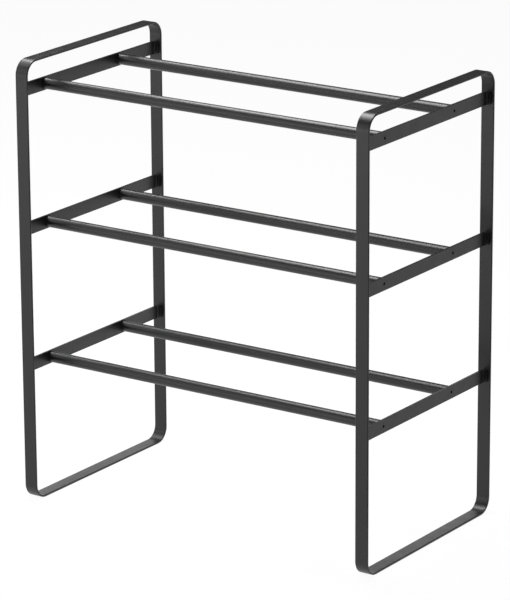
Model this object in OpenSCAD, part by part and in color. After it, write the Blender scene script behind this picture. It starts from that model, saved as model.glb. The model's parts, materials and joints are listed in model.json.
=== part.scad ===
// Three-tier shoe rack, in millimetres.
// Two side frames stand on the floor, and six round tubes run between them, two to a tier.
// Each side frame is a closed hoop of flat bar with three flat-bar rails across it.
// +X runs along the tubes to the right, +Y to the rear and +Z up.
// The origin is on the floor, midway between the side frames and midway front to rear.

/* [Rack] */
// Outside width, over both side frames
rack_width = 580; // [400:1:900]
// Depth of a side frame, front to rear
rack_depth = 320; // [300:1:400]
// Height of the lowest tubes' axes above the floor
first_tier = 200; // [80:1:240]
// Height from one tier's tube axes to the next
tier_spacing = 200; // [120:1:240]
// Rise of the side frames above the top tubes' axes
top_rise = 42; // [36:1:120]

/* [Side frames] */
// Width of the hoop's flat bar
bar_width = 20; // [18:1:30]
// Thickness of the hoop's flat bar
bar_thickness = 3; // [3:0.5:4]
// Outside radius of the hoop's four bends
bend_radius = 22; // [12:1:24]

/* [Rails] */
// Height of a rail
rail_height = 19; // [17:1:22]
// Thickness of a rail
rail_thickness = 3; // [3:0.5:4]
// Distance from a hoop's left face to its rails
rail_inset = 7; // [4:0.5:7]
// Inside radius of the bend between a rail and its end tabs
tab_bend = 2; // [1:0.5:2]
// Flat length of an end tab, which is also the radius of its corners
tab_flat = 4; // [3:0.5:5]

/* [Tubes] */
// Outside diameter of a tube
tube_diameter = 16; // [15:0.5:17]
// Wall thickness of a tube
tube_wall = 1.5; // [1:0.1:1.5]
// Distance from the front of the rack to the front tubes' axes
front_setback = 55; // [40:1:80]
// Distance from the front tubes' axes to the rear tubes' axes
tube_pitch = 175; // [100:1:190]

/* [Fixings] */
// Length of the threaded plug in each tube end
plug_length = 20; // [16:1:30]
// Thread diameter of the screws
screw_diameter = 6; // [5:0.5:6]
// Overall length of a screw
screw_length = 16; // [12:1:18]
// Hexagon socket size, across the flats
socket_size = 4; // [3:0.5:4]
// Depth of the hexagon socket
socket_depth = 2; // [1:0.5:2]

/* [Hidden] */
$fn = 96;

// Play between parts that slide together, on the radius
play = 0.05;
// How far a cutter runs past the face that it cuts
past = 1;
// Play of a screw's shank in a rail, on the radius
shank_play = 0.25;
hexagon = 6;
quarter_turn = 90;

// Heights of the tiers' tube axes
bottom = first_tier;
middle = first_tier + tier_spacing;
top = first_tier + 2 * tier_spacing;
tiers = [bottom, middle, top];
rack_height = top + top_rise;

// Depths of the tubes' axes
front = front_setback - rack_depth / 2;
rear = front + tube_pitch;
rows = [front, rear];

// Left faces of the two hoops
left = -rack_width / 2;
right = rack_width / 2 - bar_width;

// Faces of the rails that the tube ends meet
left_seat = left + rail_inset + rail_thickness;
right_seat = right + rail_inset;

// A countersunk head is a 45 degree cone that is as deep as the rail is thick
head_diameter = screw_diameter + 2 * rail_thickness;
bore_radius = screw_diameter / 2 + play;
plug_radius = tube_diameter / 2 - tube_wall - play;
rail_span = rack_depth - 2 * bar_thickness;
tab_bend_outside = tab_bend + rail_thickness;

charcoal = [0.15, 0.15, 0.16];
graphite = [0.19, 0.19, 0.20];
zinc = [0.62, 0.63, 0.65];
black_oxide = [0.08, 0.08, 0.09];

// Steel side hoop, whose left face is at x
module hoop(x) {
    color(charcoal) translate([x, 0, 0]) {
        for (z = [0, rack_height - bar_thickness])
            translate([0, bend_radius - rack_depth / 2, z])
                cube([bar_width, rack_depth - 2 * bend_radius, bar_thickness]);
        for (y = [-rack_depth / 2, rack_depth / 2 - bar_thickness])
            translate([0, y, bend_radius])
                cube([bar_width, bar_thickness, rack_height - 2 * bend_radius]);
        for (side = [0, 1]) mirror([0, side, 0]) {
            hoop_bend(rack_height - bend_radius, 0);
            hoop_bend(bend_radius, 1);
        }
    }
}

// One of the hoop's bends, about a line along X at height z; lower is 1 for a bottom bend
module hoop_bend(z, lower) {
    translate([0, rack_depth / 2 - bend_radius, z])
        mirror([0, 0, lower])
            rotate([quarter_turn, 0, quarter_turn])
                rotate_extrude(angle = quarter_turn)
                    translate([bend_radius - bar_thickness, 0])
                        square([bar_thickness, bar_width]);
}

// Cross rail of the hoop at x and the tier at z; screw_side is 1 to countersink its right face
module rail(x, z, screw_side) {
    color(charcoal) difference() {
        translate([x + rail_inset, 0, z]) rail_blank();
        for (y = rows) screw_hole(x + rail_inset + screw_side * rail_thickness, y, z, screw_side);
    }
}

// The rail without its holes, with its left face at zero and its mid height at zero
module rail_blank() {
    translate([0, tab_bend_outside - rail_span / 2, -rail_height / 2])
        cube([rail_thickness, rail_span - 2 * tab_bend_outside, rail_height]);
    for (side = [0, 1]) mirror([0, side, 0]) {
        translate([tab_bend_outside, rail_span / 2 - tab_bend_outside, -rail_height / 2])
            rotate([0, 0, quarter_turn])
                rotate_extrude(angle = quarter_turn)
                    translate([tab_bend, 0])
                        square([rail_thickness, rail_height]);
        translate([tab_bend_outside, rail_span / 2, 0])
            rotate([quarter_turn, 0, 0])
                linear_extrude(height = rail_thickness) tab_outline();
    }
}

// Face of an end tab, with two rounded corners
module tab_outline() {
    corner = rail_height / 2 - tab_flat;
    translate([0, -corner]) square([tab_flat, 2 * corner]);
    intersection() {
        for (y = [-corner, corner]) translate([0, y]) circle(r = tab_flat);
        translate([0, -rail_height / 2]) square([tab_flat, rail_height]);
    }
}

// Countersunk hole whose mouth is at x; it opens to the right where side is 1, else to the left
module screw_hole(x, y, z, side) {
    translate([x, y, z]) mirror([side, 0, 0]) rotate([0, quarter_turn, 0]) {
        cylinder(r1 = head_diameter / 2 + play, r2 = screw_diameter / 2 + play, h = rail_thickness);
        translate([0, 0, -past])
            cylinder(r = screw_diameter / 2 + shank_play, h = rail_thickness + 2 * past);
    }
}

// Round tube between the two side frames, at depth y and height z
module tube(y, z) {
    color(graphite) translate([left_seat, y, z]) rotate([0, quarter_turn, 0]) difference() {
        cylinder(d = tube_diameter, h = right_seat - left_seat);
        translate([0, 0, -past])
            cylinder(r = tube_diameter / 2 - tube_wall, h = right_seat - left_seat + 2 * past);
    }
}

// Threaded plug fixed inside a tube's end at x; side is 1 for a right end
module plug(x, y, z, side) {
    color(zinc) translate([x, y, z]) mirror([side, 0, 0]) rotate([0, quarter_turn, 0]) difference() {
        cylinder(r = plug_radius, h = plug_length);
        translate([0, 0, -past]) cylinder(r = bore_radius, h = plug_length + 2 * past);
    }
}

// Countersunk socket screw with its head flush at x; side is 1 for one driven from the right
module screw(x, y, z, side) {
    translate([x, y, z]) mirror([side, 0, 0]) rotate([0, quarter_turn, 0]) difference() {
        union() {
            cylinder(d1 = head_diameter, d2 = screw_diameter, h = rail_thickness);
            cylinder(d = screw_diameter, h = screw_length);
        }
        translate([0, 0, -past])
            cylinder(r = socket_size / sqrt(3), h = socket_depth + past, $fn = hexagon);
    }
}

// The six screws of the left side frame, driven from the left
module left_screws() {
    color(black_oxide)
        for (z = tiers, y = rows) screw(left_seat - rail_thickness, y, z, 0);
}

// The six screws of the right side frame, driven from the right
module right_screws() {
    color(black_oxide)
        for (z = tiers, y = rows) screw(right_seat + rail_thickness, y, z, 1);
}

hoop(left);  // left_hoop
rail(left, bottom, 0);  // left_rail_bottom
rail(left, middle, 0);  // left_rail_middle
rail(left, top, 0);  // left_rail_top
hoop(right);  // right_hoop
rail(right, bottom, 1);  // right_rail_bottom
rail(right, middle, 1);  // right_rail_middle
rail(right, top, 1);  // right_rail_top
tube(front, bottom);  // tube_bottom_front
tube(rear, bottom);  // tube_bottom_rear
tube(front, middle);  // tube_middle_front
tube(rear, middle);  // tube_middle_rear
tube(front, top);  // tube_top_front
tube(rear, top);  // tube_top_rear
plug(left_seat, front, bottom, 0);  // left_plug_bottom_front
plug(left_seat, rear, bottom, 0);  // left_plug_bottom_rear
plug(left_seat, front, middle, 0);  // left_plug_middle_front
plug(left_seat, rear, middle, 0);  // left_plug_middle_rear
plug(left_seat, front, top, 0);  // left_plug_top_front
plug(left_seat, rear, top, 0);  // left_plug_top_rear
plug(right_seat, front, bottom, 1);  // right_plug_bottom_front
plug(right_seat, rear, bottom, 1);  // right_plug_bottom_rear
plug(right_seat, front, middle, 1);  // right_plug_middle_front
plug(right_seat, rear, middle, 1);  // right_plug_middle_rear
plug(right_seat, front, top, 1);  // right_plug_top_front
plug(right_seat, rear, top, 1);  // right_plug_top_rear
left_screws();
right_screws();
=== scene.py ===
import json
import math

import bpy
from mathutils import Matrix, Vector


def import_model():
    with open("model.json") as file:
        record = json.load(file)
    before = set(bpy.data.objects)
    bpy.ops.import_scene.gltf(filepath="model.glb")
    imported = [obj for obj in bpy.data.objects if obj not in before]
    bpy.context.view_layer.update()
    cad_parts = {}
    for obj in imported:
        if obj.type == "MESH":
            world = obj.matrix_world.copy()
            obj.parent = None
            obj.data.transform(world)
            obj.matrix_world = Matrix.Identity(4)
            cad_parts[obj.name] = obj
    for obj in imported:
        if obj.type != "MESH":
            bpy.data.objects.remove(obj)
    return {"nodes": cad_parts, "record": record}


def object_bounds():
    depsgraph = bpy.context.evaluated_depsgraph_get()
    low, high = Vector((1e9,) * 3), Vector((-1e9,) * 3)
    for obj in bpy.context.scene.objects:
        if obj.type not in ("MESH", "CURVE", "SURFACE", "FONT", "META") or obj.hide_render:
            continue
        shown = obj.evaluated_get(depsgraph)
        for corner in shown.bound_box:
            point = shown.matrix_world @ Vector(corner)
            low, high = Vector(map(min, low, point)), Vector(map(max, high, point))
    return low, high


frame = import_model()
cad_low, cad_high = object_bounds()

MM = 0.001

# The view: a long lens from the front right, a little above the rack.
VIEW_AZIMUTH = 34.36  # degrees round from straight ahead, to the right
VIEW_ELEVATION = 16.97  # degrees above the horizon
VIEW_DISTANCE = 5.259  # metres from the aim point
VIEW_ROLL = -0.33  # degrees
AIM_ABOVE_CENTRE = -0.0163  # metres, up the picture
LENS_MM = 225.8
SENSOR_MM = 36.0

# The studio.
FLOOR_HALF = 40.0  # metres
FLOOR_GLOW = 0.95  # brightness of the floor and of the white beyond it
FLOOR_GAP_MM = 0.4  # between the rack and the floor
SOFTBOX_HEIGHT = 1.3  # metres above the floor
LOW_PANEL_HEIGHT = 0.45  # metres
REAR_PANEL_Y = 0.65  # metres behind the rack's centre
CARD_LIFT_MM = 0.6  # of the cards, above the rack's lowest point
CARD_FAR = 4.5  # metres to the right, where both cards end
GREY_CARD_GLOW = 0.78

# The finish.
COAT_COLOUR = (0.0110, 0.0110, 0.0114)  # linear, a neutral black
COAT_ROUGHNESS = 0.36
CLOUD_MM = 55.0  # size of the coat's faint clouds
CLOUD_CONTRAST = 0.15
RUB_MM = 0.5  # how far from an edge the coat is rubbed
RUB_PATCH_MM = 9.0
RUB_MOST = 0.6
RUB_LIGHTER = 2.2  # times the coat's own colour
GLOSS_PATCH_MM = 16.0
GLOSS_CONTRAST = 0.03
PEEL_STRENGTH = 0.25
ZINC_COLOUR = (0.45, 0.45, 0.47)
ZINC_ROUGHNESS = 0.4
COAT_EDGE_MM = 0.8  # rounding of the bars' long edges
TUBE_EDGE_MM = 0.2
NOISE_LOW, NOISE_HIGH = 0.3, 0.7  # nearly all of a noise's values lie between these


def camera():
    """Long-lens camera that looks down at the rack from the front right."""
    data = bpy.data.cameras.new("camera")
    data.lens = LENS_MM
    data.sensor_width = SENSOR_MM
    data.clip_end = 2 * FLOOR_HALF
    cam = bpy.data.objects.new("camera", data)
    bpy.context.scene.collection.objects.link(cam)
    a, e = math.radians(VIEW_AZIMUTH), math.radians(VIEW_ELEVATION)
    back = Vector((math.sin(a) * math.cos(e), -math.cos(a) * math.cos(e), math.sin(e)))
    turn = (-back).to_track_quat("-Z", "Y").to_matrix().to_4x4()
    turn = turn @ Matrix.Rotation(math.radians(VIEW_ROLL), 4, "Z")
    aim = (cad_low + cad_high) / 2 + turn.to_3x3() @ Vector((0, AIM_ABOVE_CENTRE, 0))
    cam.matrix_world = Matrix.Translation(aim + back * VIEW_DISTANCE) @ turn
    bpy.context.scene.camera = cam


class Nodes:
    """Short way to build a material's node tree."""

    def __init__(self, name):
        self.material = bpy.data.materials.new(name)
        self.material.use_nodes = True
        self.tree = self.material.node_tree
        self.tree.nodes.clear()

    def add(self, kind, **inputs):
        """Adds a node and fills its inputs, named with _ for a space."""
        node = self.tree.nodes.new(kind)
        for key, value in inputs.items():
            self.put(node, key.replace("_", " "), value)
        return node

    def put(self, node, key, value):
        """Links a socket to a node's input, or sets the input to a plain value."""
        socket = node.inputs[key]
        if isinstance(value, bpy.types.NodeSocket):
            self.tree.links.new(value, socket)
        else:
            socket.default_value = value

    def noise(self, where, size_mm, detail=3.0):
        """Grey noise from 0 to 1 whose blobs are about size_mm across."""
        node = self.add("ShaderNodeTexNoise", Vector=where, Scale=1 / (size_mm * MM), Detail=detail)
        return node.outputs["Fac"]

    def spread(self, value, start, end, low, high):
        """Maps the range start to end of a value to the range low to high."""
        node = self.add("ShaderNodeMapRange", Value=value)
        node.clamp = True
        self.put(node, "From Min", start)
        self.put(node, "From Max", end)
        self.put(node, "To Min", low)
        self.put(node, "To Max", high)
        return node.outputs["Result"]

    def blend(self, factor, first, second):
        """Mixes two colours, each a plain colour or a socket."""
        node = self.tree.nodes.new("ShaderNodeMix")
        node.data_type = "RGBA"
        self.tree.links.new(factor, node.inputs[0])
        for socket, colour in zip([s for s in node.inputs if s.type == "RGBA"], (first, second)):
            if isinstance(colour, bpy.types.NodeSocket):
                self.tree.links.new(colour, socket)
            else:
                socket.default_value = (*colour, 1)
        return [s for s in node.outputs if s.type == "RGBA"][0]

    def times(self, first, second):
        """Product of two sockets or numbers."""
        node = self.tree.nodes.new("ShaderNodeMath")
        node.operation = "MULTIPLY"
        self.put(node, 0, first)
        self.put(node, 1, second)
        return node.outputs[0]

    def edges(self, radius_mm):
        """0 on flat stretches, rising to 1 on sharp edges and corners."""
        rounded = self.add("ShaderNodeBevel", Radius=radius_mm * MM)
        rounded.samples = 4
        flat = self.tree.nodes.new("ShaderNodeNewGeometry")
        dot = self.tree.nodes.new("ShaderNodeVectorMath")
        dot.operation = "DOT_PRODUCT"
        self.put(dot, 0, rounded.outputs["Normal"])
        self.put(dot, 1, flat.outputs["Normal"])
        return self.spread(dot.outputs["Value"], 0.98, 0.8, 0.0, 1.0)


def scaled(colour, factor):
    """The colour, lighter or darker by a factor."""
    return tuple(c * factor for c in colour)


def coat(name, colour, roughness, specular, grain_mm, grain_depth_mm):
    """Powder-coated steel: fine orange peel, cloudy black, uneven gloss and edges rubbed a little."""
    n = Nodes(name)
    where = n.add("ShaderNodeTexCoord").outputs["Object"]
    clouds = n.spread(n.noise(where, CLOUD_MM, 4.0), NOISE_LOW, NOISE_HIGH, 0.0, 1.0)
    cloudy = n.blend(clouds, scaled(colour, 1 - CLOUD_CONTRAST), scaled(colour, 1 + CLOUD_CONTRAST))
    patches = n.spread(n.noise(where, RUB_PATCH_MM), 0.45, 0.7, 0.0, RUB_MOST)
    rubbed = n.times(n.edges(RUB_MM), patches)
    shade = n.blend(rubbed, cloudy, scaled(colour, RUB_LIGHTER))
    duller, glossier = roughness + GLOSS_CONTRAST, roughness - GLOSS_CONTRAST
    gloss = n.spread(n.noise(where, GLOSS_PATCH_MM), NOISE_LOW, NOISE_HIGH, glossier, duller)
    peel = n.add("ShaderNodeBump", Height=n.noise(where, grain_mm, 1.0), Strength=PEEL_STRENGTH)
    n.put(peel, "Distance", grain_depth_mm * MM)
    shader = n.add("ShaderNodeBsdfPrincipled", Base_Color=shade, Roughness=gloss)
    n.put(shader, "Normal", peel.outputs["Normal"])
    n.put(shader, "Specular IOR Level", specular)
    n.add("ShaderNodeOutputMaterial", Surface=shader.outputs["BSDF"])
    return n.material


def plated(name, colour, roughness):
    """Zinc-plated steel: metallic, with faint turning marks and patches of duller plating."""
    n = Nodes(name)
    where = n.add("ShaderNodeTexCoord").outputs["Object"]
    shade = n.blend(n.noise(where, 6.0, 4.0), scaled(colour, 0.8), scaled(colour, 1.2))
    dull = n.spread(n.noise(where, 3.0), NOISE_LOW, NOISE_HIGH, roughness - 0.08, roughness + 0.08)
    marks = n.add("ShaderNodeBump", Height=n.noise(where, 0.3, 2.0), Strength=0.2, Distance=0.02 * MM)
    shader = n.add("ShaderNodeBsdfPrincipled", Base_Color=shade, Roughness=dull, Metallic=1.0)
    n.put(shader, "Normal", marks.outputs["Normal"])
    n.add("ShaderNodeOutputMaterial", Surface=shader.outputs["BSDF"])
    return n.material


def dress(node, material, edge_mm=0.0):
    """Gives a CAD node its material, and rounds its edges for the light to catch."""
    piece = frame["nodes"][node]
    piece.data.materials.clear()
    piece.data.materials.append(material)
    if edge_mm == 0.0:
        return
    weld = piece.modifiers.new("weld", "WELD")
    weld.merge_threshold = 0.001 * MM
    bevel = piece.modifiers.new("edge", "BEVEL")
    bevel.width = edge_mm * MM
    bevel.segments = 3
    bevel.limit_method = "ANGLE"
    bevel.angle_limit = math.radians(40)
    bevel.use_clamp_overlap = True
    normals = piece.modifiers.new("normals", "WEIGHTED_NORMAL")
    normals.keep_sharp = False
    normals.weight = 50


def sheet(name, corners, material):
    """One flat sheet of the studio, from its corners."""
    mesh = bpy.data.meshes.new(name)
    mesh.from_pydata(corners, [], [tuple(range(len(corners)))])
    mesh.materials.append(material)
    piece = bpy.data.objects.new(name, mesh)
    bpy.context.scene.collection.objects.link(piece)
    return piece


def floor():
    """Wide white floor that the rack stands on, bright enough to lose its far edge."""
    n = Nodes("white_floor")
    where = n.add("ShaderNodeTexCoord").outputs["Object"]
    shade = n.blend(n.noise(where, 300.0), (0.076, 0.076, 0.076), (0.084, 0.084, 0.084))
    shader = n.add("ShaderNodeBsdfPrincipled", Base_Color=shade, Roughness=0.8)
    n.put(shader, "Specular IOR Level", 0.0)
    n.put(shader, "Emission Color", (1, 1, 1, 1))
    n.put(shader, "Emission Strength", FLOOR_GLOW)
    n.add("ShaderNodeOutputMaterial", Surface=shader.outputs["BSDF"])
    h, z = FLOOR_HALF, cad_low.z - FLOOR_GAP_MM * MM
    sheet("floor", [(-h, -h, z), (h, -h, z), (h, h, z), (-h, h, z)], n.material)


def card(name, glow, plan):
    """Card on the floor that only reflections show.

    Its plan gives corners in metres towards the lens and to the view's right, all outside the picture.
    """
    n = Nodes(name)
    where = n.add("ShaderNodeTexCoord").outputs["Object"]
    shade = n.blend(n.noise(where, 40.0), (0.018, 0.018, 0.018), (0.022, 0.022, 0.022))
    shader = n.add("ShaderNodeBsdfPrincipled", Base_Color=shade, Roughness=0.8)
    n.put(shader, "Specular IOR Level", 0.0)
    n.put(shader, "Emission Color", (1, 1, 1, 1))
    n.put(shader, "Emission Strength", glow)
    n.add("ShaderNodeOutputMaterial", Surface=shader.outputs["BSDF"])
    a = math.radians(VIEW_AZIMUTH)
    near = Vector((math.sin(a), -math.cos(a), 0))
    right = Vector((math.cos(a), math.sin(a), 0))
    lift = Vector((0, 0, cad_low.z + CARD_LIFT_MM * MM))
    piece = sheet(name, [near * s + right * t + lift for s, t in plan], n.material)
    piece.visible_camera = False
    piece.visible_diffuse = False
    piece.visible_shadow = False


def cards():
    """Darken the right-hand edges of the bars, and keep the rails' faces as dark as the front ones."""
    notch = [(0.44, -0.10), (0.44, 0.45), (0.25, 0.60)]
    card("black_card", 0.0, notch + [(0.25, CARD_FAR), (3.5, CARD_FAR), (3.5, -1.0)])
    card("grey_card", GREY_CARD_GLOW, [(0.25, 0.45), (0.25, CARD_FAR), (-2.5, CARD_FAR), (-2.5, 0.60)])


def panel(name, centre, aim, size, radiance):
    """Soft rectangular light, bright by its radiance rather than its watts."""
    size_x, size_y = size
    data = bpy.data.lights.new(name, "AREA")
    data.shape = "RECTANGLE"
    data.size, data.size_y = size_x, size_y
    data.energy = radiance * math.pi * size_x * size_y
    lamp = bpy.data.objects.new(name, data)
    bpy.context.scene.collection.objects.link(lamp)
    towards = Vector(aim) - Vector(centre)
    lamp.matrix_world = Matrix.Translation(centre) @ towards.to_track_quat("-Z", "Y").to_matrix().to_4x4()
    lamp.visible_camera = False


def softbox(name, x_range, y_range, radiance):
    """Part of the overhead softbox, which faces straight down."""
    x, y = sum(x_range) / 2, sum(y_range) / 2
    size = (x_range[1] - x_range[0], y_range[1] - y_range[0])
    panel(name, (x, y, SOFTBOX_HEIGHT), (x, y, 0), size, radiance)


def lights():
    """Softbox over the rack's left half, and paler panels to its left, in front of it and behind it."""
    middle = (0, 0, 0.3)
    high = (2.2, 1.6)
    softbox("softbox_front", (-0.5, 0.0), (-0.25, -0.05), radiance=7.0)
    softbox("softbox_middle", (-0.5, 0.0), (-0.05, 0.15), radiance=12.2)
    softbox("softbox_rear", (-0.5, 0.0), (0.15, 0.35), radiance=10.2)
    softbox("softbox_left", (-1.0, -0.5), (0.15, 0.35), radiance=13.5)
    panel("left_high", (-2.4, 0.0, 2.4), middle, high, radiance=2.7)
    panel("left_rear_high", (-1.6, 1.6, 2.4), middle, high, radiance=0.25)
    panel("rear_high", (0.0, 2.2, 2.4), middle, high, radiance=0.5)
    panel("front_left", (-2.1, -2.1, 1.7), middle, (3.0, 1.2), radiance=1.63)
    panel("front_low", (-1.2, -2.7, 0.45), (0, 0, 0.45), (2.0, 0.9), radiance=2.0)
    low = (0.9, LOW_PANEL_HEIGHT)
    z = LOW_PANEL_HEIGHT / 2
    panel("rear_low", (-0.45, REAR_PANEL_Y, z), (-0.45, 0, z), low, radiance=1.25)
    panel("rear_low_left", (-1.35, REAR_PANEL_Y, z), (-1.35, 0, z), low, radiance=2.5)


def world():
    """White beyond the floor's edge, which neither lights the rack nor shows in it."""
    studio = bpy.data.worlds.new("studio")
    bpy.context.scene.world = studio
    studio.use_nodes = True
    background = studio.node_tree.nodes["Background"]
    background.inputs["Color"].default_value = (1, 1, 1, 1)
    background.inputs["Strength"].default_value = FLOOR_GLOW
    studio.cycles_visibility.diffuse = False
    studio.cycles_visibility.glossy = False


bpy.context.scene.view_settings.view_transform = "Standard"
camera()
world()
floor()
cards()
lights()

frame_coat = coat("frame_coat", COAT_COLOUR, COAT_ROUGHNESS, 0.46, grain_mm=0.8, grain_depth_mm=0.02)
tube_coat = coat("tube_coat", COAT_COLOUR, COAT_ROUGHNESS, 0.47, grain_mm=0.8, grain_depth_mm=0.015)
screw_colour = scaled(COAT_COLOUR, 0.8)
screw_coat = coat("screw_coat", screw_colour, 0.4, 0.5, grain_mm=0.4, grain_depth_mm=0.02)
plug_steel = plated("plug_steel", ZINC_COLOUR, ZINC_ROUGHNESS)
finishes = {
    "frame_coat": (frame_coat, COAT_EDGE_MM),
    "tube_coat": (tube_coat, TUBE_EDGE_MM),
    "screw_steel": (screw_coat, 0.0),
    "plug_steel": (plug_steel, 0.0),
}
for row in frame["record"]["subparts"]:
    material, edge_mm = finishes[row["material_slot"]]
    dress(row["node"], material, edge_mm)
